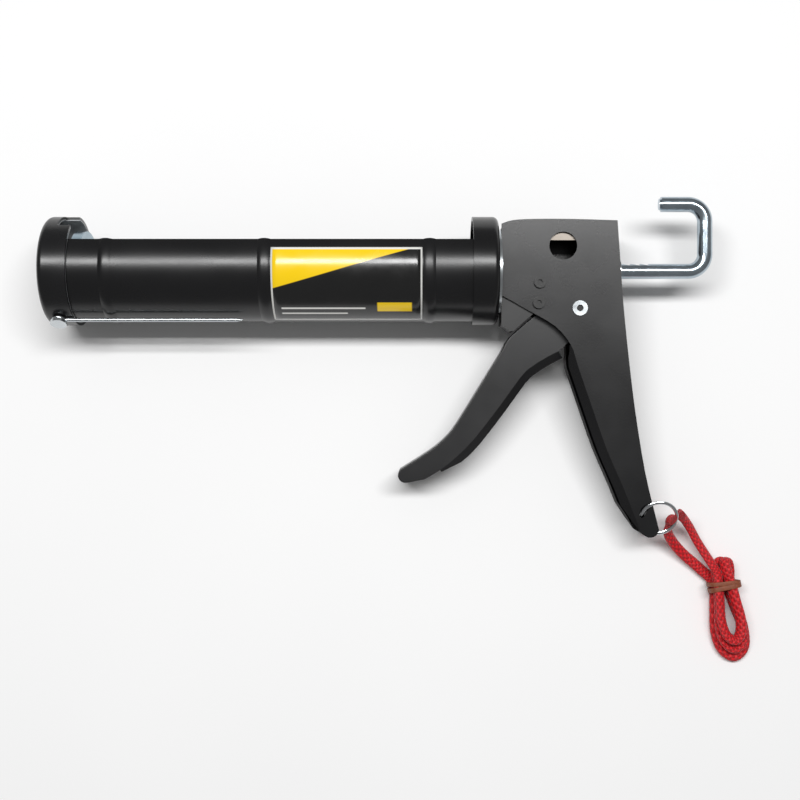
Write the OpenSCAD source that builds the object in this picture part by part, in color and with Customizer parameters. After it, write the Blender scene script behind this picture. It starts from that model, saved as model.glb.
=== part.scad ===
/* [Barrel] */
// Outer radius of the half-round cradle
cradle_r = 26.8; // [24:0.2:34]
// Sheet thickness of the cradle
cradle_wall = 1.0; // [0.6:0.1:1.5]
// Length of the barrel from the front plate to the collar's back
barrel_len = 236; // [180:1:300]
// Angle of metal left in the cradle
cradle_wrap = 190; // [170:1:200]
// Turn of the barrel about its own axis as it lies
barrel_turn = 27.5; // [0:0.5:60]
// Depth of the front cap
cap_depth = 15; // [12:0.5:20]
// Wall of the front cap and rear collar
cup_wall = 1.8; // [1.5:0.1:2.4]
// Depth of the rear collar
collar_depth = 13.5; // [10:0.5:18]
// Diameter of the nozzle hole in the front cap
nozzle_d = 25; // [19:0.5:32]

/* [Rod and plunger] */
// Diameter of the push rod
rod_d = 8; // [7:0.1:9.5]
// Distance between teeth on the rod
tooth_pitch = 5; // [4:0.5:8]
// Depth of each tooth
tooth_depth = 1.2; // [0.6:0.1:1.4]
// Height of the hook above the rod's axis
hook_h = 35.5; // [28:0.5:42]
// Diameter of the plunger disc
plunger_d = 42; // [38:0.5:46]

/* [Frame] */
// Overall thickness of the frame across its two side plates
frame_w = 26; // [25:0.5:32]
// Sheet thickness of the frame
frame_wall = 1.8; // [1.5:0.1:2.2]
// Diameter of the trigger's pivot pin
pivot_d = 6; // [4.5:0.1:7]
// Diameter of the spout cutter hole
cutter_d = 14.5; // [10:0.1:15]

/* [Trigger] */
// Overall width of the trigger
trigger_w = 16; // [15:0.5:18]
// Sheet thickness of the trigger
trigger_wall = 1.6; // [1.2:0.1:2]

/* [Lanyard] */
// Mean radius of the split ring
ring_r = 9.3; // [8.5:0.1:10]
// Wire diameter of the split ring
ring_wire = 2.0; // [1.5:0.1:2.4]

/* [Hidden] */
$fn = 64;

run = 0.08;          // running clearance on a radius
seat = 0.02;         // clearance of a fixed fit

half_w = frame_w / 2;
inner_w = half_w - frame_wall;
trig_half = trigger_w / 2;
cup_r = cradle_r + seat + cup_wall;
collar_back = -1.5;
cap_front = collar_back - barrel_len;
cap_back = cap_front + cap_depth;
plate_r = cradle_r - 1.5;    // flat plate that closes the front cap
rod_r = rod_d / 2;
hook_x = 108.5;      // centre line of the hook's upright
hook_tip_x = 84.2;
hook_bend = 9;
pivot = [40.7, -20.3];
pivot_r = pivot_d / 2;
pawl_at = [38, -11];
pawl_pin_r = 1.5;
plunger_back = cap_back + 4.6;
plate_t = 1.5;       // plate of the plunger
bush_r = 9;
bush_flange_r = 13;
bush_flange_t = 2;
screws = [[19.9, -6.8], [19.3, -17.5]];
screw_r = 2;
cutter_at = [32, 12.1];
wire_r = 1.05;       // seal pin wire
wire_y = cup_r + wire_r + 0.2;
rivet_x = cap_front + 8;
wire_len = 92;
bead_x = [cap_front + 34.4, cap_front + 115.5, collar_back - 36];
bead_r = 7;
bead_h = 0.8;
notch_in = 6.9;      // how far the loading notches reach in from the cap's rim
notch_angle = 38;
notch_apart = 48;  // half the angle between the two notches
thread_r = 3;        // threaded front end of the rod
tooth_x0 = plunger_back + 12;
tooth_count = floor((80 - tooth_x0) / tooth_pitch);
tooth_slope = 0.85;  // part of the pitch that the tooth's ramp takes
blade_x = [24.4, 41.2];
blade_y = 19.4;
blade_rivet_r = 1.2;
screw_head_r = 3.1;
nut_r = 3.6;
nut_t = 2.6;
guide_x = [55, 57.6, 63.4];
block_back = 24;
pawl_half = 3;
tip_y = -140.4;      // lowest point of the handle
ring_at = [82, -129.5, 11];
ring_lean = 27;

// The tool lies on its side: it rests on its cap, its collar and the end of its handle
reach = sqrt(tip_y * tip_y + half_w * half_w);
lean = asin(cup_r / reach) - atan(half_w / -tip_y);
x_mid = (cap_front + hook_x + rod_r) / 2;
y_top = hook_h * cos(lean) + rod_r;
y_low = tip_y * cos(lean) - half_w * sin(lean);
y_mid = (y_top + y_low) / 2;

// Free strands of the lanyard, in the frame of the surface it lies on
strand_out = [[151.5, -80, 19.5], [151, -86, 14.5], [155, -92, 9], [161, -98, 4.8], [167, -103, 3.4],
    [171.5, -107, 3.2], [175.5, -110.5, 3.2]];
strand_back = [[154.8, -76, 19.8], [158.5, -78, 15.5], [163.6, -83.4, 11], [167.6, -90.9, 8.5],
    [172.2, -98.3, 8], [176, -104.5, 8.6], [178.5, -108.5, 9.2]];
cord_w = 6;
cord_t = 4;
cord_sides = 8;
hank_t = 12.5;
hank_axis = 9;       // turn of the hank from straight down
hank_at = [181.5, -116];
hank_low = 0.2;
hank_outline = smooth_line([[-4, 15.5], [-6.5, 3], [-9, -12], [-11, -24], [-9.5, -33], [-2, -39.5],
    [6, -38.5], [10.5, -30], [10.5, -19], [8, -4], [7, 6], [7, 15.5], [0, 18], [-4, 15.5]], 3);
band_box = [[-8, -1], [17.5, 4.6]];
band_t = 0.8;

// One point of a smooth curve that passes through b and c
function spline(a, b, c, d, t) = 0.5 * (2 * b + (c - a) * t + (2 * a - 5 * b + 4 * c - d) * t * t
    + (3 * b - 3 * c + d - a) * t * t * t);
// A smooth open curve through every point of p
function smooth_line(p, n) = [for (i = [0 : len(p) - 2], k = [0 : n - 1])
    spline(p[max(i - 1, 0)], p[i], p[i + 1], p[min(i + 2, len(p) - 1)], k / n), p[len(p) - 1]];
function arc(c, r, a, b, n) = [for (k = [0 : n], t = a + (b - a) * k / n) c + r * [cos(t), sin(t)]];
function unit(v) = v / norm(v);

// Side view of the frame: its front edge, its handle's tip, its back and its top
front_edge = smooth_line([[0, -13.5], [13, -21], [27.7, -29.6], [36, -39.5], [39.6, -50.2],
    [47, -72], [54.7, -94], [63.4, -114], [72.5, -137.4]], 4);
tip_edge = arc([77.6, -135.4], 5, -112, 0, 6);
back_edge = smooth_line([[79.6, -127], [74.4, -105], [69.4, -74], [66, -46], [63.2, -18], [61.6, 5],
    [60.2, 24]], 3);
top_edge = smooth_line([[58.8, 25.5], [36, 26], [17, 26.2], [6, 25.6], [0, 23.6]], 3);
side_outline = concat(front_edge, tip_edge, back_edge, top_edge);
// Rolled front edge of the handle
lip_edge = smooth_line([[72, -137], [64, -128], [57.8, -113.5], [50.5, -94.6], [43.2, -72], [37, -52],
    [33, -45.5]], 3);
grip_back = smooth_line([[35, -40], [39.6, -50.2], [47, -72], [54.7, -94], [63.4, -114], [72.5, -132]], 3);
// Side view of the trigger
trigger_front = smooth_line([[31, -13], [17.5, -24], [4.7, -35.1], [0.2, -42.6], [-7.3, -54.6], [-23, -80],
    [-29.7, -88.3], [-37.9, -95], [-53, -104.6]], 3);
trigger_tip = arc([-50, -107.6], 4.2, 150, 255, 5);
trigger_back = smooth_line([[-42.4, -112.4], [-36, -110.6], [-28.1, -105.2], [-19, -97.6], [-11.4, -89.4],
    [-3.9, -78], [6.7, -62.2], [15, -53.6], [24, -49], [31, -46.4]], 2);
trigger_hub = concat(arc(pivot, 9.5, -70, 60, 6), arc(pawl_at, 4, 40, 170, 6));
trigger_outline = concat(trigger_front, trigger_tip, trigger_back, trigger_hub);

module lay() translate([-x_mid, -y_mid, cup_r]) rotate([lean, 0, 0]) children();
// Turns an upright shape so that its height runs along the barrel
module along_x() rotate([0, 90, 0]) children();
module in_barrel() lay() rotate([-barrel_turn, 0, 0]) children();
module slab(t) translate([0, 0, -t / 2]) linear_extrude(t) children();
module round_x(r, x0, x1) translate([x0, 0, 0]) along_x() cylinder(h = x1 - x0, r = r);
module pin(at, r, z0, z1) translate([at[0], at[1], z0]) cylinder(h = z1 - z0, r = r);

// Pressed steel frame: two side plates joined along the back and the top
module frame_shell() color("#1b1b1d") lay() {
    difference() {
        slab(frame_w) polygon(side_outline);
        slab(frame_w - 2 * frame_wall) frame_inside();
        pin(pivot, pivot_r, -half_w - 1, half_w + 1);
        for (s = screws) pin(s, screw_r, -half_w - 1, half_w + 1);
        pin(cutter_at, cutter_d / 2, inner_w - 1, half_w + 1);
        round_x(rod_r + 2.5, 50, 70);
        ring_room();
    }
    for (s = [-1, 1]) translate([0, 0, s * (inner_w - frame_wall / 2)])
        slab(frame_wall) difference() {
            polygon(concat(lip_edge, grip_back));
            translate([ring_at[0], ring_at[1]]) circle(r = ring_r + 4);
        }
}
module frame_inside() {
    offset(delta = -frame_wall) polygon(side_outline);
    intersection() {
        for (k = [0 : 3]) translate([-2.5 * k, -0.5 * k]) offset(delta = -frame_wall) polygon(side_outline);
        translate([-40, -124]) square([120, 124 + 22]);
    }
}
module ring_room() translate(ring_at) rotate([ring_lean, 0, 0])
    rotate_extrude() translate([ring_r, 0]) circle(r = ring_wire / 2 + 0.9);

// Cast block between the side plates that carries the barrel and guides the rod
module neck_block() color("#26262a") lay() difference() {
    slab(2 * (inner_w - seat)) polygon(concat([[0, 21.5], [0, -28.3]], arc([-2.6, -36.4], 8, 70, 30, 4),
        [[6.4, -32], [12, -27], [19.3, -20.9], [block_back, -17], [block_back, 12],
        [block_back - 3.5, 13.5], [block_back - 3.5, 20]]));
    round_x(bush_r + seat, -1, 14);
    round_x(rod_r + 1, 10, 30);
    for (s = screws) pin(s, screw_r + seat, -half_w, half_w);
}

// Two socket screws that clamp the side plates onto the block
module clamp_screws() color("#202022") lay() for (s = screws) difference() {
    union() {
        pin(s, screw_r - seat, -half_w - 3.2, half_w + 0.5);
        pin(s, screw_head_r, half_w, half_w + 1.6);
    }
    pin(s, 1.4, half_w + 0.5, half_w + 2, $fn = 6);
}
module clamp_nuts() color("#202022") lay() for (s = screws) difference() {
    pin(s, nut_r, -half_w - nut_t, -half_w, $fn = 6);
    pin(s, screw_r, -half_w - 4, half_w);
}

// Hollow rivet that the trigger turns on
module trigger_pin() color("#c9ccd0") lay() difference() {
    union() {
        pin(pivot, pivot_r - seat, -half_w - 1.8, half_w + 0.5);
        pin(pivot, pivot_r + 0.9, half_w, half_w + 0.9);
    }
    pin(pivot, 1.7, half_w - 0.6, half_w + 2);
}
module pin_washer() color("#c9ccd0") lay() difference() {
    pin(pivot, pivot_r + 2, -half_w - 1, -half_w);
    pin(pivot, pivot_r, -half_w - 3, half_w);
}

// Blade behind the cutter hole, and its rivets
module cutter_blade() color("#6a6662") lay() difference() {
    translate([22, blade_y - 4.2, inner_w - 1.3]) cube([22, 7.4, 1.2]);
    for (x = blade_x) pin([x, blade_y], blade_rivet_r, 0, half_w);
}
module blade_rivets() color("#202022") lay() for (x = blade_x)
    pin([x, blade_y], blade_rivet_r - seat, inner_w - 2, inner_w - 0.05);

// Bush in the back of the frame that the rod slides through
module rear_guide() color("#a8abb0") lay() difference() {
    union() {
        round_x(rod_r + 2.4, guide_x[1] - 1, guide_x[2]);
        round_x(rod_r + 4.5, guide_x[0], guide_x[1]);
    }
    round_x(rod_r + run, guide_x[0] - 5, guide_x[2] + 5);
}

// Flanged bush that holds the collar against the frame and lets the barrel turn
module swivel_bush() color("#9a9da2") lay() difference() {
    union() {
        round_x(bush_r, collar_back - cup_wall - 1, 12);
        round_x(bush_flange_r, collar_back - cup_wall - 0.1 - bush_flange_t, collar_back - cup_wall - 0.1);
    }
    round_x(rod_r + run, -20, 20);
}
module swivel_washer() color("#b5b8bc") lay() difference() {
    round_x(22, collar_back + 0.1, -seat);
    round_x(bush_r + seat, -5, 5);
}

// Half-round cradle with three pressed beads
module cradle() color("#17171a") in_barrel() along_x()
    rotate_extrude(angle = cradle_wrap, start = 270 - cradle_wrap / 2) intersection() {
        union() {
            translate([cradle_r - cradle_wall, cap_front + cup_wall])
                square([cradle_wall, barrel_len - 2 * cup_wall]);
            for (x = bead_x) translate([cradle_r + bead_h - bead_r, x]) circle(r = bead_r);
        }
        translate([cradle_r - cradle_wall, cap_front]) square([10, barrel_len]);
    }

// Profile of a pressed cup: plate at y = 0, rim at y = depth, rounded outer corner
module cup_profile(depth, hole_r) difference() {
    square([cup_r, depth]);
    translate([-1, cup_wall]) square([cup_r - cup_wall + 1, depth]);
    translate([-1, -1]) square([hole_r + 1, depth + 2]);
    translate([cup_r - 3, 0]) difference() {
        translate([0, -1]) square([4, 4]);
        translate([0, 3]) circle(r = 3);
    }
}
module rear_collar() color("#1a1a1c") in_barrel() translate([collar_back, 0, 0]) mirror([1, 0, 0])
    along_x() rotate_extrude() cup_profile(collar_depth, bush_r + run);

// Rim of the front cap with its two loading notches
module front_cap() color("#1a1a1c") in_barrel() difference() {
    translate([cap_front, 0, 0]) along_x() rotate_extrude() cup_profile(cap_depth, plate_r);
    for (s = [-1, 1]) translate([cap_back - notch_in, 0, 0]) along_x()
        rotate_extrude(angle = notch_angle, start = 90 - notch_angle / 2 + s * notch_apart)
            translate([cup_r - cup_wall - 1, 0]) square([cup_wall + 3, 2 * notch_in]);
    translate([rivet_x, -cup_r + 3, 0]) rotate([90, 0, 0]) cylinder(h = 10, r = 1.5);
}

// Flat plate of the front cap, with the nozzle hole
module cap_plate() color("#1a1a1c") in_barrel() translate([cap_front, 0, 0]) along_x() rotate_extrude()
    translate([nozzle_d / 2, 0]) square([plate_r - nozzle_d / 2, cup_wall]);

// Rivet on the cap that the seal pin swings on
module pin_rivet() color("#c4c8cc") in_barrel() translate([rivet_x, 0, 0]) rotate([90, 0, 0]) {
    translate([0, 0, cup_r - cup_wall]) cylinder(h = cup_wall + 2 * wire_r + 0.6, r = 1.5 - seat);
    translate([0, 0, wire_y + wire_r + 0.15]) cylinder(h = 1.5, r = 4.2);
}
// Wire that pierces the cartridge's seal, folded back along the cradle
module seal_pin() color("#cfd3d6") in_barrel() translate([rivet_x, -wire_y, 0]) {
    rotate([90, 0, 0]) rotate_extrude() translate([1.5 + run + wire_r, 0]) circle(r = wire_r);
    translate([3, 0, 0]) along_x() cylinder(h = wire_len - 3, r = wire_r);
    translate([wire_len, 0, 0]) along_x() cylinder(h = 3, r1 = wire_r, r2 = 0.3);
}

// Plunger: a pressed cup that slides in the cradle
module plunger_disc() color("#a9b9c2") lay() translate([plunger_back, 0, 0]) mirror([1, 0, 0])
    along_x() rotate_extrude() difference() {
        square([plunger_d / 2, 5.2]);
        translate([-1, plate_t]) square([plunger_d / 2 - plate_t + 1, 10]);
        translate([-1, -1]) square([thread_r + 1, 10]);
    }
module plunger_washer() color("#c4c8cc") lay() difference() {
    round_x(7, plunger_back - plate_t - 1, plunger_back - plate_t);
    round_x(thread_r, plunger_back - 5, plunger_back + 5);
}

// Push rod: toothed shaft with a pulling hook at its end
module push_rod() color("#b9c2c8") lay() {
    difference() {
        round_x(rod_r, plunger_back + 0.1, hook_x - hook_bend);
        slab(rod_d + 2) polygon(concat([[tooth_x0, rod_r + 2]],
            [for (i = [0 : tooth_count - 1], k = [0, 1])
                [tooth_x0 + (i + k * tooth_slope) * tooth_pitch, rod_r - tooth_depth * k]],
            [[tooth_x0 + tooth_count * tooth_pitch, rod_r + 2]]));
    }
    round_x(thread_r - run, plunger_back - 5, plunger_back + 0.1);
    translate([hook_x - hook_bend, hook_bend, 0]) bend(-90);
    translate([hook_x, hook_bend, 0]) rotate([-90, 0, 0]) cylinder(h = hook_h - 2 * hook_bend, r = rod_r);
    translate([hook_x - hook_bend, hook_h - hook_bend, 0]) bend(0);
    round_hook_end();
}
module bend(start) rotate_extrude(angle = 90, start = start) translate([hook_bend, 0]) circle(r = rod_r);
module round_hook_end() translate([0, hook_h, 0]) {
    round_x(rod_r, hook_tip_x + 1, hook_x - hook_bend);
    round_x(rod_r - 1, hook_tip_x, hook_tip_x + 1.5);
}
module rod_nut() color("#c4c8cc") lay() difference() {
    translate([plunger_back - plate_t - 4.2, 0, 0]) along_x() cylinder(h = 3.1, r = 5, $fn = 6);
    round_x(thread_r, plunger_back - 9, plunger_back);
}

// Trigger: two cheeks joined along the front
module trigger() color("#1d1d20") lay() difference() {
    slab(trigger_w) polygon(trigger_outline);
    slab(trigger_w - 2 * trigger_wall) {
        for (k = [0, 1]) translate([1.6 + 6 * k, -1.4 - 5 * k]) polygon(trigger_outline);
        translate([26, -36]) square([40, 40]);
    }
    pin(pivot, pivot_r + run, -half_w, half_w);
    pin(pawl_at, pawl_pin_r, -half_w, half_w);
}
module pawl_pin() color("#c4c8cc") lay() pin(pawl_at, pawl_pin_r - seat, -trig_half - 0.4, trig_half + 0.4);

// Pawl that pushes the rod's teeth, and its spring
module drive_pawl() color("#8f9296") lay() difference() {
    slab(2 * pawl_half)
        polygon(concat(arc(pawl_at, 3.4, -140, 40, 8), [[34, -5.2], [31, -4.6], [30.2, -6.4]]));
    pin(pawl_at, pawl_pin_r + run, -5, 5);
}
module pawl_spring() color("#b9bcc0") lay() coil(pawl_at, 2.4, 0.4, pawl_half + 0.3, 3, 35);
module return_spring() color("#b9bcc0") lay() coil(pivot, 5.6, 0.5, trig_half + 0.5, 2, 10);
// Torsion spring: flat turns of wire round a pin, with two legs
module coil(at, r, wire, z0, turns, leg_turn) translate([at[0], at[1], z0]) {
    for (k = [0 : turns - 1]) translate([0, 0, wire + k * wire * 1.96])
        rotate_extrude() translate([r, 0]) circle(r = wire);
    for (s = [0, 1]) rotate([0, 0, leg_turn + s * 70]) translate([r, 0, wire + s * (turns - 1) * wire * 1.96])
        rotate([90, 0, 0]) translate([0, 0, -r * 1.1]) cylinder(h = r * 1.1, r = wire);
}

// Split ring through the end of the handle
module split_ring() color("#d4d7da") lay() translate(ring_at) rotate([ring_lean, 0, 0])
    rotate_extrude() translate([ring_r, 0]) circle(r = ring_wire / 2);

// A soft cord swept along a route: an upright oval ring of points at each step
function ring_of(route, i, w, t) = let (
    a = route[max(i - 1, 0)], b = route[min(i + 1, len(route) - 1)], d = unit(b - a),
    side = unit(cross([0, 0, 1], d)), up = cross(d, side))
    [for (k = [0 : cord_sides - 1]) route[i] + side * w / 2 * cos(360 * k / cord_sides)
        + up * t / 2 * sin(360 * k / cord_sides)];
module swept(route, w, t) {
    n = len(route);
    s = cord_sides;
    polyhedron([for (i = [0 : n - 1]) each ring_of(route, i, w, t)], concat(
        [[for (k = [0 : s - 1]) s - 1 - k]],
        [for (i = [0 : n - 2], k = [0 : s - 1], m = (k + 1) % s)
            [i * s + k, i * s + m, (i + 1) * s + m, (i + 1) * s + k]],
        [[for (k = [0 : s - 1]) (n - 1) * s + k]]));
}
module lanyard_cord() color("#d3141e") swept(smooth_line(strand_out, 2), cord_w, cord_t);
module lanyard_return() color("#d3141e") swept(smooth_line(strand_back, 2), cord_w, cord_t);
// Folded bundle of cord, and the band round its middle
module lanyard_hank() color("#c8121c") on_hank() linear_extrude(hank_t) polygon(hank_outline);
module hank_band() color("#8a4527") on_hank() difference() {
    translate([band_box[0][0], band_box[0][1], -hank_low])
        cube([band_box[1][0], band_box[1][1], hank_t + hank_low + band_t]);
    translate([band_box[0][0] + band_t, band_box[0][1] - 1, 0])
        cube([band_box[1][0] - 2 * band_t, band_box[1][1] + 2, hank_t]);
}
module on_hank() translate([hank_at[0], hank_at[1], hank_low]) rotate([0, 0, hank_axis]) children();

frame_shell();
neck_block();
clamp_screws();
clamp_nuts();
trigger_pin();
pin_washer();
cutter_blade();
blade_rivets();
rear_guide();
swivel_bush();
swivel_washer();
cradle();
rear_collar();
front_cap();
cap_plate();
pin_rivet();
seal_pin();
plunger_disc();
plunger_washer();
push_rod();
rod_nut();
trigger();
pawl_pin();
drive_pawl();
return_spring();
pawl_spring();
split_ring();
lanyard_cord();
lanyard_return();
lanyard_hank();
hank_band();
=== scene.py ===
import math
import bmesh
import bpy
from mathutils import Matrix, Vector


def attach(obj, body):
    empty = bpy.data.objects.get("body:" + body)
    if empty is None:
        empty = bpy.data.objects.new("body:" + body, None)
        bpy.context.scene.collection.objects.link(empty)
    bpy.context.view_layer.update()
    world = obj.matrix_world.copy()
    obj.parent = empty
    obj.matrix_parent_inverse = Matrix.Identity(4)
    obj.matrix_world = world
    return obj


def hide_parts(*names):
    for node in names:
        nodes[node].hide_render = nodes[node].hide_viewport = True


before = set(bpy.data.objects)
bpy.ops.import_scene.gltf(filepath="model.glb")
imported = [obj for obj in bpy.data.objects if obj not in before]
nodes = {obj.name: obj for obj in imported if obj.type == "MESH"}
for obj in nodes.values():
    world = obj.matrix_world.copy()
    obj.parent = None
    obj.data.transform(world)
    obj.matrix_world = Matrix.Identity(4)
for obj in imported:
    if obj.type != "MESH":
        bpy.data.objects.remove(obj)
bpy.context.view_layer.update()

MM = 0.001
SHARP_ANGLE = math.radians(35)

# The tool's own measures, in mm: x along the barrel towards the rear, y from the handle's tip towards
# the barrel's axis, and z out of the side that lies uppermost
LEAN = math.radians(6.421)
TOOL = (Matrix.Translation(Vector((62.5, 50.848, 28.62)) * MM) @ Matrix.Rotation(LEAN, 4, "X")
        @ Matrix.Scale(MM, 4))
BARREL = TOOL @ Matrix.Rotation(math.radians(-27.5), 4, "X")
CAP_FRONT = -237.5
CRADLE_R = 26.8
FRAME_HALF = 13.0
FRAME_WALL = 1.8
TRIGGER_HALF = 8.0
TRIGGER_WALL = 1.6
RING_R = 9.3
RING_WIRE = 0.5
RING = TOOL @ Matrix.Translation((82, -129.5, 11)) @ Matrix.Rotation(math.radians(27), 4, "X")
SPOUT_HOLE_AT = (32, 12.1, FRAME_HALF)
SPOUT_HOLE_R = 7.25
CORD_HALF_WIDTH = 3.0
CORD_HALF_THICKNESS = 1.85
YARN_PITCH = 3.2
YARNS_ROUND = 6


# ---------------------------------------------------------------- camera

def place_camera():
    camera = bpy.data.objects.new("camera", bpy.data.cameras.new("camera"))
    bpy.context.scene.collection.objects.link(camera)
    camera.matrix_world = (Matrix.Translation(TOOL @ Vector((-42.4, -63.9, 636.0)))
                           @ Matrix.Rotation(LEAN, 4, "X"))
    camera.data.lens = 54
    camera.data.sensor_width = 36
    camera.data.shift_x = -0.025
    camera.data.shift_y = -0.01
    bpy.context.scene.camera = camera


place_camera()


# ---------------------------------------------------------------- shared helpers

def linear(hex_code):
    """sRGB hex to a linear RGBA colour."""
    channels = [int(hex_code[i:i + 2], 16) / 255 for i in (1, 3, 5)]
    return tuple(c / 12.92 if c <= 0.04045 else ((c + 0.055) / 1.055) ** 2.4 for c in channels) + (1.0,)


def add(tree, kind, inputs=None, **settings):
    """One shader node with its settings; an input takes a value or another node's socket."""
    node = tree.nodes.new("ShaderNode" + kind)
    for name, value in settings.items():
        setattr(node, name, value)
    for name, value in (inputs or {}).items():
        if isinstance(value, bpy.types.NodeSocket):
            tree.links.new(value, node.inputs[name])
        else:
            node.inputs[name].default_value = value
    return node


def blend_of(tree, amount, low, high):
    """A colour or number between low and high, by amount."""
    is_colour = isinstance(low, tuple) or isinstance(high, (tuple, bpy.types.NodeSocketColor))
    kind = "RGBA" if is_colour else "FLOAT"
    mix = add(tree, "Mix", data_type=kind)
    by_type = {"RGBA": ("Factor_Float", "A_Color", "B_Color", "Result_Color"),
               "FLOAT": ("Factor_Float", "A_Float", "B_Float", "Result_Float")}[kind]
    sockets = {s.identifier: s for s in list(mix.inputs) + list(mix.outputs)}
    for name, value in zip(by_type, (amount, low, high)):
        if isinstance(value, bpy.types.NodeSocket):
            tree.links.new(value, sockets[name])
        else:
            sockets[name].default_value = value
    return sockets[by_type[3]]


def new_material(name):
    material = bpy.data.materials.new(name)
    material.use_nodes = True
    tree = material.node_tree
    tree.nodes.clear()
    return material, tree


def finish_material(tree, bump_height=None, bump_mm=0.05, **shader):
    """The shader and output of a finish. bump_height is a socket, and bump_mm the height of its relief."""
    inputs = {name.replace("_", " "): value for name, value in shader.items()}
    if bump_height is not None:
        bump = add(tree, "Bump", {"Height": bump_height, "Strength": 1.0, "Distance": bump_mm * MM})
        inputs["Normal"] = bump.outputs["Normal"]
    surface = add(tree, "BsdfPrincipled", inputs)
    add(tree, "OutputMaterial", {"Surface": surface.outputs["BSDF"]})


def noise(tree, where, size_mm, detail=2.0, rough=0.5):
    """Noise whose blobs are about size_mm across."""
    return add(tree, "TexNoise", {"Vector": where, "Scale": 1 / (size_mm * MM), "Detail": detail,
                                  "Roughness": rough}).outputs["Fac"]


def ramp(tree, value, low, high, to_low=0.0, to_high=1.0):
    return add(tree, "MapRange", {"Value": value, "From Min": low, "From Max": high,
                                  "To Min": to_low, "To Max": to_high}).outputs["Result"]


def math_of(tree, operation, a, b):
    return add(tree, "Math", {0: a, 1: b}, operation=operation).outputs[0]


def spline(p, steps):
    """A smooth line through the points p, each part in that many steps."""
    p = [Vector(v) for v in p]
    line = []
    for i in range(len(p) - 1):
        a, b, c, d = p[max(i - 1, 0)], p[i], p[i + 1], p[min(i + 2, len(p) - 1)]
        for k in range(steps):
            t = k / steps
            line.append(0.5 * (2 * b + (c - a) * t + (2 * a - 5 * b + 4 * c - d) * t * t
                               + (3 * b - 3 * c + d - a) * t ** 3))
    return line + [p[-1]]


def make_piece(name, shape, body, material):
    """An object from a bmesh whose place is already in its vertices, in metres."""
    mesh = bpy.data.meshes.new(name)
    shape.to_mesh(mesh)
    shape.free()
    piece = bpy.data.objects.new(name, mesh)
    bpy.context.scene.collection.objects.link(piece)
    mesh.materials.append(material)
    mesh.shade_smooth()
    mesh.set_sharp_from_angle(angle=SHARP_ANGLE)
    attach(piece, body)
    return piece


def settle(piece):
    """Puts the piece's modifiers into its mesh."""
    graph = bpy.context.evaluated_depsgraph_get()
    finished = bpy.data.meshes.new_from_object(piece.evaluated_get(graph))
    piece.modifiers.clear()
    piece.data = finished


def cut(piece, tool_shape):
    """Cuts the closed shape of tool_shape out of the piece."""
    mesh = bpy.data.meshes.new("cutting_tool")
    tool_shape.to_mesh(mesh)
    tool_shape.free()
    tool = bpy.data.objects.new("cutting_tool", mesh)
    bpy.context.scene.collection.objects.link(tool)
    hole = piece.modifiers.new("hole", "BOOLEAN")
    hole.object = tool
    hole.operation = "DIFFERENCE"
    hole.solver = "EXACT"
    hole.use_self = True
    hole.use_hole_tolerant = True
    settle(piece)
    bpy.data.objects.remove(tool)


# ---------------------------------------------------------------- finishes

def powder_coat(name, dark, light, sheen_low, sheen_high):
    """Black polyester powder coat, sprayed and baked: a faint orange-peel skin with a soft wide shine."""
    material, tree = new_material(name)
    where = add(tree, "TexCoord").outputs["Object"]
    peel = noise(tree, where, 1.1, 2)
    cloud = noise(tree, where, 38, 3)
    dust = ramp(tree, noise(tree, where, 0.9, 6, 0.7), 0.70, 0.78)
    colour = blend_of(tree, dust, blend_of(tree, cloud, linear(dark), linear(light)), linear("#2b2b2e"))
    rough = blend_of(tree, dust, ramp(tree, cloud, 0.3, 0.7, sheen_low, sheen_high), 0.55)
    finish_material(tree, peel, 0.012, Base_Color=colour, Roughness=rough, IOR=1.5)
    return material


def painted_cap():
    """The same black coat outside the front cap, and zinc-plated steel inside it, where no coat went."""
    material, tree = new_material("cap_black_outside_zinc_inside")
    where = add(tree, "TexCoord").outputs["Object"]
    axis = TOOL @ Vector((CAP_FRONT, 0, 0))
    from_axis = add(tree, "VectorMath", {0: where, 1: tuple(axis)}, operation="SUBTRACT").outputs[0]
    parts = add(tree, "SeparateXYZ", {"Vector": from_axis})
    across = add(tree, "CombineXYZ", {"Y": parts.outputs["Y"], "Z": parts.outputs["Z"]}).outputs[0]
    radius = add(tree, "VectorMath", {0: across}, operation="LENGTH").outputs["Value"]
    within = ramp(tree, radius, 27.3 * MM, 27.1 * MM)
    behind = ramp(tree, parts.outputs["X"], 1.2 * MM, 1.5 * MM)
    inside = math_of(tree, "MULTIPLY", within, behind)
    cloud = noise(tree, where, 30, 3)
    stain = noise(tree, where, 6, 5, 0.6)
    paint = blend_of(tree, cloud, linear("#0c0c0d"), linear("#141416"))
    zinc = blend_of(tree, stain, linear("#8e9092"), linear("#c3c6c8"))
    finish_material(tree, noise(tree, where, 1.1, 2), 0.012,
                    Base_Color=blend_of(tree, inside, paint, zinc),
                    Metallic=ramp(tree, inside, 0.0, 1.0, 0.0, 0.3),
                    Roughness=blend_of(tree, inside, ramp(tree, cloud, 0.3, 0.7, 0.24, 0.31), 0.5))
    return material


def plated_steel(name, dark, light, rough_low, rough_high, grain_mm=0.5, stretch=(1, 1, 1), relief=0.004):
    """Electroplated steel: zinc or nickel over the fine lines of the drawn or pressed surface."""
    material, tree = new_material(name)
    where = add(tree, "TexCoord").outputs["Object"]
    drawn = add(tree, "Mapping", {"Vector": where, "Scale": stretch}).outputs["Vector"]
    lines = noise(tree, drawn, grain_mm, 4, 0.6)
    cloud = noise(tree, where, 9, 4, 0.6)
    finish_material(tree, lines, relief, Base_Color=blend_of(tree, cloud, linear(dark), linear(light)),
                    Metallic=1.0, Roughness=ramp(tree, cloud, 0.25, 0.75, rough_low, rough_high))
    return material


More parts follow.
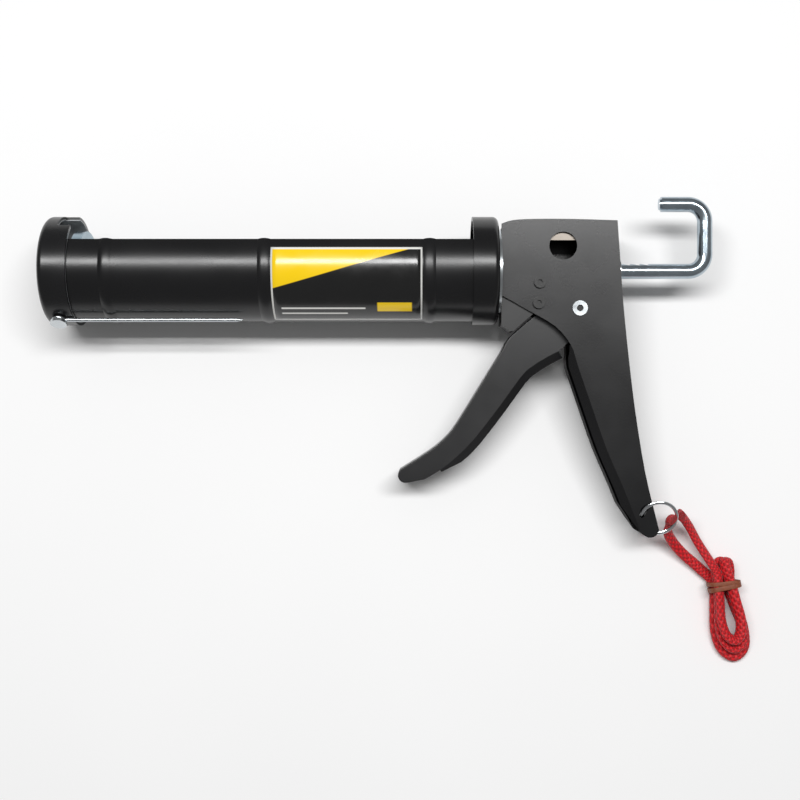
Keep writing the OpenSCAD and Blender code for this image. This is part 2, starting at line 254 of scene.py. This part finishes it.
def braided_cord():
    """Braided nylon cord: two sets of yarns that cross at a slant, with a soft sheen, and painted shade that
    darkens the colour in the valleys between the yarns.
    """
    material, tree = new_material("braided_red_nylon")
    uv = add(tree, "UVMap").outputs["UV"]
    parts = add(tree, "SeparateXYZ", {"Vector": uv})

    def yarns(slant):
        along = math_of(tree, "MULTIPLY", parts.outputs["X"], slant * 2 * math.pi)
        round_it = math_of(tree, "MULTIPLY", parts.outputs["Y"], 2 * math.pi)
        turn = math_of(tree, "ADD", along, round_it)
        wave = add(tree, "Math", {0: turn}, operation="SINE").outputs[0]
        return ramp(tree, wave, -1, 1)

    one, other = yarns(1), yarns(-1)
    height = math_of(tree, "MAXIMUM", one, other)
    # Product of the two yarn waves: low in the valleys between the yarns, where the colour below gets painted
    # shade
    painted_valley_shade = math_of(tree, "MULTIPLY", one, other)
    fibre = noise(tree, add(tree, "TexCoord").outputs["Object"], 0.35, 3)
    # Painted shade of the yarn valleys plus random fibre tone
    fibre_tone_and_painted_shade = math_of(tree, "ADD", painted_valley_shade, fibre)
    colour = blend_of(tree, ramp(tree, fibre_tone_and_painted_shade, 0.3, 1.3), linear("#8f0610"), linear("#e5141f"))
    finish_material(tree, height, 0.35, Base_Color=colour, Roughness=0.62,
                    Sheen_Weight=0.12, Sheen_Roughness=0.4)
    return material


def band_rubber():
    """Old natural-rubber band: dull brown, with painted shade that darkens it in its creases."""
    material, tree = new_material("brown_rubber_band")
    where = add(tree, "TexCoord").outputs["Object"]
    # One noise gives the creases' relief and the colour: the colour is darker where the relief is low, which
    # is painted shade
    crease_relief_and_painted_shade = noise(tree, where, 1.6, 4, 0.6)
    colour = blend_of(tree, crease_relief_and_painted_shade, linear("#5c2a18"), linear("#9a5433"))
    finish_material(tree, crease_relief_and_painted_shade, 0.25, Base_Color=colour, Roughness=0.6)
    return material


def printed_label():
    """Glossy printed vinyl with a plain two-colour field and ruled lines."""
    material, tree = new_material("yellow_and_black_vinyl_label")
    uv = add(tree, "UVMap").outputs["UV"]
    parts = add(tree, "SeparateXYZ", {"Vector": uv})
    u, v = parts.outputs["X"], parts.outputs["Y"]

    def band(value, low, high, soft=0.004):
        rise = ramp(tree, value, low - soft, low + soft)
        fall = ramp(tree, value, high - soft, high + soft, 1.0, 0.0)
        return both(rise, fall)

    def both(a, b):
        return math_of(tree, "MULTIPLY", a, b)

    def either(a, b):
        return math_of(tree, "MAXIMUM", a, b)

    rise = add(tree, "Math", {0: u, 1: -0.5, 2: v}, operation="MULTIPLY_ADD").outputs[0]
    yellow = either(ramp(tree, rise, 0.515, 0.525), both(band(u, 0.70, 0.93), band(v, 0.20, 0.34)))
    rule = either(both(band(u, 0.06, 0.62), band(v, 0.24, 0.265)),
                  both(band(u, 0.06, 0.50), band(v, 0.15, 0.175)))
    edge = either(either(ramp(tree, v, 0.972, 0.976), ramp(tree, v, 0.028, 0.024)),
                  either(ramp(tree, u, 0.988, 0.99), ramp(tree, u, 0.012, 0.01)))
    white = either(rule, edge)
    field = blend_of(tree, yellow, linear("#121212"), linear("#f6cd08"))
    colour = blend_of(tree, white, field, linear("#e9e9e4"))
    where = add(tree, "TexCoord").outputs["Object"]
    finish_material(tree, noise(tree, where, 7, 2), 0.03, Base_Color=colour,
                    Roughness=ramp(tree, noise(tree, where, 12, 3), 0.3, 0.7, 0.16, 0.28),
                    Coat_Weight=0.3, Coat_Roughness=0.1)
    return material


black_coat = powder_coat("satin_black_powder_coat", "#0a0a0b", "#111113", 0.24, 0.31)
trigger_coat = powder_coat("trigger_black_powder_coat", "#0d0d0e", "#151517", 0.27, 0.35)
cast_coat = powder_coat("cast_block_black_paint", "#0b0b0c", "#161617", 0.34, 0.5)
black_oxide = powder_coat("black_oxide_screws", "#0a0a0a", "#161616", 0.22, 0.34)
cap_finish = painted_cap()
zinc = plated_steel("bright_zinc_plate", "#aab0b4", "#dde1e3", 0.18, 0.32)
rod_zinc = plated_steel("drawn_rod_blue_zinc", "#8f9ca6", "#c6d2da", 0.12, 0.24, 0.5, (0.08, 1, 1))
plunger_zinc = plated_steel("pressed_plunger_blue_zinc", "#6f8694", "#b4c4cd", 0.2, 0.35)
nickel = plated_steel("ring_nickel_plate", "#b9bcc0", "#e6e8ea", 0.1, 0.18, 0.4)
spring_wire = plated_steel("spring_wire", "#8c8f93", "#b9bcc0", 0.2, 0.35)
blade_steel = plated_steel("ground_blade_steel", "#57524d", "#8a837b", 0.3, 0.45, 0.4, (1, 0.1, 1))
cord_red = braided_cord()
rubber = band_rubber()
label_print = printed_label()


def coat_cad_nodes():
    finish_of = {
        "neck_block": cast_coat, "clamp_screws": black_oxide, "clamp_nuts": black_oxide,
        "trigger_pin": zinc, "pin_washer": zinc, "cutter_blade": blade_steel, "blade_rivets": black_oxide,
        "rear_guide": zinc, "swivel_bush": zinc, "swivel_washer": zinc, "cradle": black_coat,
        "rear_collar": black_coat, "front_cap": cap_finish, "cap_plate": cap_finish, "pin_rivet": zinc,
        "seal_pin": zinc, "plunger_disc": plunger_zinc, "plunger_washer": zinc, "push_rod": rod_zinc,
        "rod_nut": zinc,
        "pawl_pin": zinc, "drive_pawl": blade_steel, "return_spring": spring_wire, "pawl_spring": spring_wire,
    }
    for name, material in finish_of.items():
        nodes[name].data.materials.clear()
        nodes[name].data.materials.append(material)


coat_cad_nodes()


# ---------------------------------------------------------------- wrist cord

HANK = Matrix.Translation((181.5, -116, 0)) @ Matrix.Rotation(math.radians(9), 4, "Z")


def cord_route():
    """The cord's centre line, in mm: down from the ring, the folds in the band, and back up to the ring."""
    down = [(151.6, -80.4, 26.8), (150.6, -79.6, 23.4), (151.4, -82, 18.6), (151.2, -86.5, 14.2),
            (155, -92, 9), (161, -98, 4.8), (167, -103, 3.2), (171.5, -107, 2.8)]
    folds = [(-5.2, 6.4, 2.5), (-3.6, 1, 2.5), (-5.4, -10, 2.5), (-7.2, -22, 2.5), (-5.6, -31.5, 2.5),
             (0.2, -36.4, 2.5), (6.2, -32, 2.5), (7.4, -21, 2.5), (5.2, -9, 2.5), (3.9, 1, 2.5),
             (4.6, 8, 2.7), (2.6, 13.2, 3.6), (-0.6, 13.4, 4.8), (-2.8, 8.5, 5.9),
             (-3.2, 1, 6.4), (-4.6, -10, 6.5), (-6.2, -20, 6.5), (-4.6, -28.5, 6.5), (0.4, -32.6, 6.5),
             (5.4, -28.4, 6.5), (6.4, -19, 6.5), (4.8, -8, 6.5), (3.8, 1, 6.5),
             (5.2, 8, 6.8), (5.0, 13.4, 7.9), (2.6, 13.6, 9.6), (2.8, 7.5, 10.5),
             (3.7, 1, 10.6), (4.4, -8, 10.6), (5.2, -17, 10.6), (3.8, -24.4, 10.6), (0.2, -27.4, 10.6),
             (-3.6, -24, 10.6), (-4.8, -16, 10.6), (-3.8, -7, 10.6), (-3.1, 1, 10.6), (-2.2, 8, 9.9)]
    back = [(176, -104.5, 9.0), (172.2, -98.3, 8.4), (167.6, -90.9, 8.8), (163.6, -84, 11),
            (159.4, -79, 15.2), (156.6, -77.2, 19.6), (156.9, -78.4, 23.8)]
    return down + [tuple(HANK @ Vector(p)) for p in folds] + back


def make_cord():
    route = [p * MM for p in spline(cord_route(), 4)]
    curve = bpy.data.curves.new("cord_line", "CURVE")
    curve.dimensions = "3D"
    curve.twist_mode = "MINIMUM"
    line = curve.splines.new("POLY")
    line.points.add(len(route) - 1)
    for point, place in zip(line.points, route):
        point.co = (*place, 1)
    section = bpy.data.curves.new("cord_section", "CURVE")
    section.dimensions = "2D"
    ring = section.splines.new("POLY")
    ring.points.add(15)
    for k, point in enumerate(ring.points):
        angle = 2 * math.pi * k / 16
        point.co = (CORD_HALF_WIDTH * MM * math.cos(angle),
                    CORD_HALF_THICKNESS * MM * math.sin(angle), 0, 1)
    ring.use_cyclic_u = True
    outline = bpy.data.objects.new("cord_section", section)
    bpy.context.scene.collection.objects.link(outline)
    curve.bevel_mode = "OBJECT"
    curve.bevel_object = outline
    curve.use_fill_caps = True
    guide = bpy.data.objects.new("cord_line", curve)
    bpy.context.scene.collection.objects.link(guide)
    mesh = bpy.data.meshes.new_from_object(guide.evaluated_get(bpy.context.evaluated_depsgraph_get()))
    bpy.data.objects.remove(guide)
    bpy.data.objects.remove(outline)
    length = sum((b - a).length for a, b in zip(route, route[1:]))
    return mesh, route, length


def lay_cord():
    mesh, route, length = make_cord()
    piece = bpy.data.objects.new("wrist_cord", mesh)
    bpy.context.scene.collection.objects.link(piece)
    mesh.materials.clear()
    mesh.materials.append(cord_red)
    mesh.shade_smooth()
    uv = mesh.uv_layers[0] if mesh.uv_layers else mesh.uv_layers.new(name="UVMap")
    for loop in uv.data:
        loop.uv = (loop.uv[0] * length / (YARN_PITCH * MM), loop.uv[1] * YARNS_ROUND)
    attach(piece, "frame")
    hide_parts("lanyard_cord", "lanyard_return", "lanyard_hank")
    return piece, route, length


def make_band():
    """A rubber band in two turns round the folds, pulled to a rounded square by what it holds."""
    half_wide, half_tall = 8.3, 6.35
    centre_across, centre_up = 0.7, 6.75
    squareness = 0.55
    shape = bmesh.new()
    for low, high, skew in ((-1.0, 1.5, 0.5), (1.3, 3.6, -0.6)):
        turn = bmesh.ops.create_circle(shape, segments=48, radius=1)["verts"]
        for vert in turn:
            across, up = vert.co.x, vert.co.y
            vert.co = Vector((math.copysign(abs(across) ** squareness, across) * half_wide + centre_across,
                              low + skew * across,
                              math.copysign(abs(up) ** squareness, up) * half_tall + centre_up))
        edges = list({e for v in turn for e in v.link_edges})
        rest = [v for v in bmesh.ops.extrude_edge_only(shape, edges=edges)["geom"]
                if isinstance(v, bmesh.types.BMVert)]
        bmesh.ops.translate(shape, verts=rest, vec=(0, high - low, 0))
    bmesh.ops.recalc_face_normals(shape, faces=shape.faces[:])
    bmesh.ops.transform(shape, matrix=Matrix.Scale(MM, 4) @ HANK, verts=shape.verts)
    band = make_piece("hank_rubber_band", shape, "frame", rubber)
    wall = band.modifiers.new("wall", "SOLIDIFY")
    wall.thickness = 0.7 * MM
    wall.offset = 0
    soft = band.modifiers.new("soft_edges", "BEVEL")
    soft.width = 0.25 * MM
    soft.segments = 2
    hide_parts("hank_band")
    return band


cord, cord_points, cord_length = lay_cord()
band = make_band()


# ---------------------------------------------------------------- pressed steel frame and trigger

FRAME_FRONT = [(0, 23.6), (-0.2, -13.5), (13, -21), (27.7, -29.6), (36, -39.5), (39.6, -50.2), (47, -72),
               (54.7, -94), (63.4, -114), (72.5, -137.4)]
FRAME_BACK = [(79.6, -127), (74.4, -105), (69.4, -74), (66, -46), (63.2, -18), (61.6, 5), (60.2, 25.3)]
FRAME_TOP = [(60.2, 25.3), (36, 26), (17, 26.0), (6, 25.4), (0, 23.6)]
TRIGGER_FRONT = [(31, -13), (17.5, -24), (4.7, -35.1), (0.2, -42.6), (-7.3, -54.6), (-23, -80),
                 (-29.7, -88.3), (-37.9, -95), (-53, -104.6)]
TRIGGER_BACK = [(-40, -109.6), (-31.9, -104.8), (-23, -97.6), (-13.3, -87.6), (-0.5, -71), (7, -60.6),
                (13.6, -52.4), (24.1, -45.6), (30, -42.6)]


def arc(centre, radius, start, end, steps):
    """Points on an arc, with its angles in degrees."""
    return [Vector(centre) + radius * Vector((math.cos(math.radians(start + (end - start) * k / steps)),
                                              math.sin(math.radians(start + (end - start) * k / steps))))
            for k in range(steps + 1)]


def pressed_channel(closed, open_side, half, fold):
    """A sheet folded into a channel: two side plates that the closed run joins, with rounded folds of
    radius fold. The plates' edges along open_side stay free."""
    shape = bmesh.new()
    outline = [shape.verts.new((p[0], p[1], -half)) for p in list(closed) + list(open_side)]
    plate = shape.faces.new(outline)
    moved = bmesh.ops.extrude_face_region(shape, geom=[plate])["geom"]
    far_plate = [g for g in moved if isinstance(g, bmesh.types.BMVert)]
    bmesh.ops.translate(shape, verts=far_plate, vec=(0, 0, 2 * half))
    closed_xy = {(round(p[0], 3), round(p[1], 3)) for p in closed}

    def on_closed(vert):
        return (round(vert.co.x, 3), round(vert.co.y, 3)) in closed_xy

    shape.normal_update()
    walls = [f for f in shape.faces if abs(f.normal.z) < 0.5 and not all(on_closed(v) for v in f.verts)]
    bmesh.ops.delete(shape, geom=walls, context="FACES_ONLY")
    folds = [e for e in shape.edges if len(e.link_faces) == 2
             and abs(e.verts[0].co.z - e.verts[1].co.z) < 0.01 and all(on_closed(v) for v in e.verts)]
    bmesh.ops.bevel(shape, geom=folds, affect="EDGES", offset=fold, offset_type="OFFSET", segments=6,
                    profile=0.5, material=-1, clamp_overlap=True)
    bmesh.ops.recalc_face_normals(shape, faces=shape.faces[:])
    return shape


def turn_lip(shape, half, wanted, step, fade):
    """Turns a narrow slanted lip out of the plates' free edges for which wanted(x, y) holds.
    step is its reach in x, y and inwards; fade gives its share at a point."""
    free = [e for e in shape.edges if e.is_boundary and abs(abs(e.verts[0].co.z) - half) < 0.01
            and abs(abs(e.verts[1].co.z) - half) < 0.01 and e.verts[0].co.z * e.verts[1].co.z > 0
            and all(wanted(v.co.x, v.co.y) for v in e.verts)]
    turned = bmesh.ops.extrude_edge_only(shape, edges=free)["geom"]
    for vert in [g for g in turned if isinstance(g, bmesh.types.BMVert)]:
        share = fade(vert.co.x, vert.co.y)
        inwards = -math.copysign(step[2], vert.co.z)
        vert.co += Vector((step[0], step[1], inwards)) * share
    bmesh.ops.remove_doubles(shape, verts=shape.verts[:], dist=0.02)
    bmesh.ops.dissolve_degenerate(shape, edges=shape.edges[:], dist=0.02)
    bmesh.ops.recalc_face_normals(shape, faces=shape.faces[:])


def face_out(shape):
    """Makes the side plates' faces point away from the middle plane."""
    shape.normal_update()
    lean_out = sum(f.normal.z * f.calc_center_median().z * f.calc_area() for f in shape.faces)
    if lean_out < 0:
        bmesh.ops.reverse_faces(shape, faces=shape.faces[:])


def thicken(piece, wall):
    sheet = piece.modifiers.new("sheet", "SOLIDIFY")
    sheet.thickness = wall * MM
    sheet.offset = -1
    settle(piece)


def soften_edges(piece, width):
    soft = piece.modifiers.new("worn_edges", "BEVEL")
    soft.width = width * MM
    soft.segments = 2
    soft.limit_method = "ANGLE"
    soft.angle_limit = math.radians(40)
    flat = piece.modifiers.new("flat_faces", "WEIGHTED_NORMAL")
    flat.keep_sharp = True


def make_frame():
    tip = arc((77.2, -135.0), 4.6, -125, -8, 6)
    closed = tip + spline(FRAME_BACK, 3) + spline(FRAME_TOP, 3)[1:-1]
    front = [Vector(FRAME_FRONT[0])] + spline(FRAME_FRONT[1:], 3)
    shape = pressed_channel(closed, front, FRAME_HALF, 3.6)
    turn_lip(shape, FRAME_HALF, lambda x, y: y < -38 and x < 72.6, (-4.4, -0.7, 3.2),
             lambda x, y: min(1, max(0, (y + 137.4) / 14), max(0, (-38 - y) / 10)))
    face_out(shape)
    bmesh.ops.transform(shape, matrix=TOOL, verts=shape.verts)
    piece = make_piece("frame_pressing", shape, "frame", black_coat)
    thicken(piece, FRAME_WALL)
    hole = bmesh.new()
    bmesh.ops.create_cone(hole, cap_ends=True, segments=64, radius1=SPOUT_HOLE_R, radius2=SPOUT_HOLE_R,
                          depth=8)
    bmesh.ops.transform(hole, matrix=TOOL @ Matrix.Translation(SPOUT_HOLE_AT), verts=hole.verts)
    cut(piece, hole)
    room = bmesh.new()
    section = bmesh.ops.create_circle(room, segments=16, radius=1.7, cap_ends=False)["verts"]
    stand = Matrix.Rotation(math.pi / 2, 4, "X")
    bmesh.ops.transform(room, matrix=Matrix.Translation((RING_R, 0, 0)) @ stand, verts=section)
    bmesh.ops.spin(room, geom=room.edges[:], cent=(0, 0, 0), axis=(0, 0, 1), angle=2 * math.pi, steps=64,
                   use_merge=True)
    bmesh.ops.recalc_face_normals(room, faces=room.faces[:])
    bmesh.ops.transform(room, matrix=RING, verts=room.verts)
    cut(piece, room)
    piece.data.shade_smooth()
    piece.data.set_sharp_from_angle(angle=SHARP_ANGLE)
    soften_edges(piece, 0.25)
    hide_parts("frame_shell")


def make_trigger():
    closed = spline(TRIGGER_FRONT, 3) + arc((-50, -107.6), 4.0, 150, 285, 6)
    back = spline(TRIGGER_BACK, 2) + arc((40.7, -20.3), 9.5, -60, 60, 8) + arc((38, -11), 4, 40, 160, 6)
    shape = pressed_channel(closed, back, TRIGGER_HALF, 3.0)
    turn_lip(shape, TRIGGER_HALF, lambda x, y: y < -42 and x < 31 and x > -34, (2.6, -3.4, 3.0),
             lambda x, y: min(1, max(0.3, (x + 34) / 12)))
    face_out(shape)
    bmesh.ops.transform(shape, matrix=TOOL, verts=shape.verts)
    piece = make_piece("trigger_pressing", shape, "trigger", trigger_coat)
    thicken(piece, TRIGGER_WALL)
    piece.data.shade_smooth()
    piece.data.set_sharp_from_angle(angle=SHARP_ANGLE)
    soften_edges(piece, 0.25)
    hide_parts("trigger")


def make_split_ring():
    """Split ring: flattened wire in two turns that lie against each other."""
    shape = bmesh.new()
    section = bmesh.ops.create_circle(shape, segments=14, radius=RING_WIRE, cap_ends=True)["verts"]
    turns = 1.94
    steps = 150
    climb = 0.94
    flatten = Matrix.Rotation(math.pi / 2, 4, "X") @ Matrix.Diagonal((1.7, 1, 1, 1))
    bmesh.ops.transform(shape, matrix=Matrix.Translation((RING_R, 0, -climb / 2)) @ flatten, verts=section)
    bmesh.ops.spin(shape, geom=shape.verts[:] + shape.edges[:] + shape.faces[:], cent=(0, 0, 0),
                   axis=(0, 0, 1), dvec=(0, 0, climb / steps), angle=turns * 2 * math.pi, steps=steps,
                   use_merge=False, use_duplicate=False)
    bmesh.ops.recalc_face_normals(shape, faces=shape.faces[:])
    bmesh.ops.transform(shape, matrix=RING, verts=shape.verts)
    ring = make_piece("ring_two_turns", shape, "ring", nickel)
    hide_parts("split_ring")


def make_label():
    """A printed label round the near side of the cradle, between two beads."""
    shape = bmesh.new()
    start, end = -118.4, -41.2
    radius = CRADLE_R + 0.04
    first = shape.verts.new((start, -radius, 0))
    last = shape.verts.new((end, -radius, 0))
    edge = shape.edges.new((first, last))
    bmesh.ops.subdivide_edges(shape, edges=[edge], cuts=20)
    low, high = -12, 84
    bmesh.ops.rotate(shape, cent=(0, 0, 0), matrix=Matrix.Rotation(math.radians(-low), 3, "X"),
                     verts=shape.verts)
    bmesh.ops.spin(shape, geom=shape.verts[:] + shape.edges[:], cent=(0, 0, 0), axis=(1, 0, 0),
                   angle=math.radians(low - high), steps=40, use_merge=False)
    uv = shape.loops.layers.uv.new("UVMap")
    for face in shape.faces:
        for loop in face.loops:
            place = loop.vert.co
            turn = math.degrees(math.atan2(place.z, -place.y))
            loop[uv].uv = ((place.x - start) / (end - start), (turn - low) / (high - low))
    bmesh.ops.recalc_face_normals(shape, faces=shape.faces[:])
    outwards = sum(f.normal.dot(f.calc_center_median() * Vector((0, 1, 1))) for f in shape.faces)
    if outwards < 0:
        bmesh.ops.reverse_faces(shape, faces=shape.faces[:])
    bmesh.ops.transform(shape, matrix=BARREL, verts=shape.verts)
    label = make_piece("printed_label", shape, "barrel", label_print)
    film = label.modifiers.new("film", "SOLIDIFY")
    film.thickness = 0.12 * MM
    film.offset = 1


make_frame()
make_trigger()
make_split_ring()
make_label()


# ---------------------------------------------------------------- studio

def make_studio():
    shape = bmesh.new()
    bmesh.ops.create_grid(shape, x_segments=1, y_segments=1, size=3)
    mesh = bpy.data.meshes.new("studio_floor")
    shape.to_mesh(mesh)
    shape.free()
    floor = bpy.data.objects.new("studio_floor", mesh)
    bpy.context.scene.collection.objects.link(floor)
    material, tree = new_material("pale_paper_sweep")
    where = add(tree, "TexCoord").outputs["Object"]
    white = blend_of(tree, noise(tree, where, 200, 2), linear("#f3f3f3"), linear("#f8f8f8"))
    finish_material(tree, noise(tree, where, 0.8, 2), 0.01, Base_Color=white, Roughness=0.9)
    mesh.materials.append(material)

    world = bpy.data.worlds.new("studio")
    bpy.context.scene.world = world
    bpy.context.scene.view_settings.view_transform = "Standard"
    world.use_nodes = True
    world.node_tree.nodes["Background"].inputs["Color"].default_value = linear("#ffffff")
    world.node_tree.nodes["Background"].inputs["Strength"].default_value = 0.22

    def softbox(name, place, aim, size, power):
        lamp = bpy.data.lights.new(name, "AREA")
        lamp.shape = "RECTANGLE"
        lamp.size, lamp.size_y = size
        lamp.energy = power
        holder = bpy.data.objects.new(name, lamp)
        bpy.context.scene.collection.objects.link(holder)
        holder.location = place
        holder.rotation_euler = (Vector(aim) - Vector(place)).to_track_quat("-Z", "Y").to_euler()

    softbox("key_softbox", (0.0, 0.31, 1.43), (0, 0.03, 0), (1.6, 0.22), 22)


make_studio()
